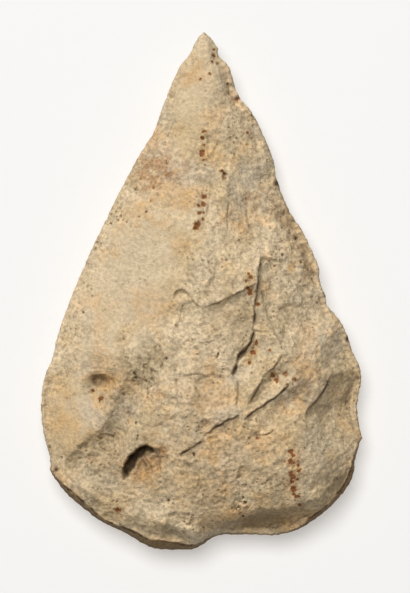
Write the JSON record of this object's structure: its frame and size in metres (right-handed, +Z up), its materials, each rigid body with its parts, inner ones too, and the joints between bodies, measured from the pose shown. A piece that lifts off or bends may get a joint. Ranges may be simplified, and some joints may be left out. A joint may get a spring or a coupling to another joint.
{
  "type": "stone hand axe",
  "caption": "Large pear-shaped stone hand axe with a pointed tip, a blunt rounded butt and flake scars worked on both faces.",
  "frame": {"origin": "under the middle of the axe's bounding box, on the surface that it lies on", "axes": "+Y from the butt to the tip, +Z up out of the upper face, +X to the right as seen from above"},
  "size_m": [0.1424, 0.23, 0.0452],
  "materials": {
    "stone": "matte"
  },
  "bodies": {
    "root": {"hand_axe": "stone"}
  },
  "joints": []
}
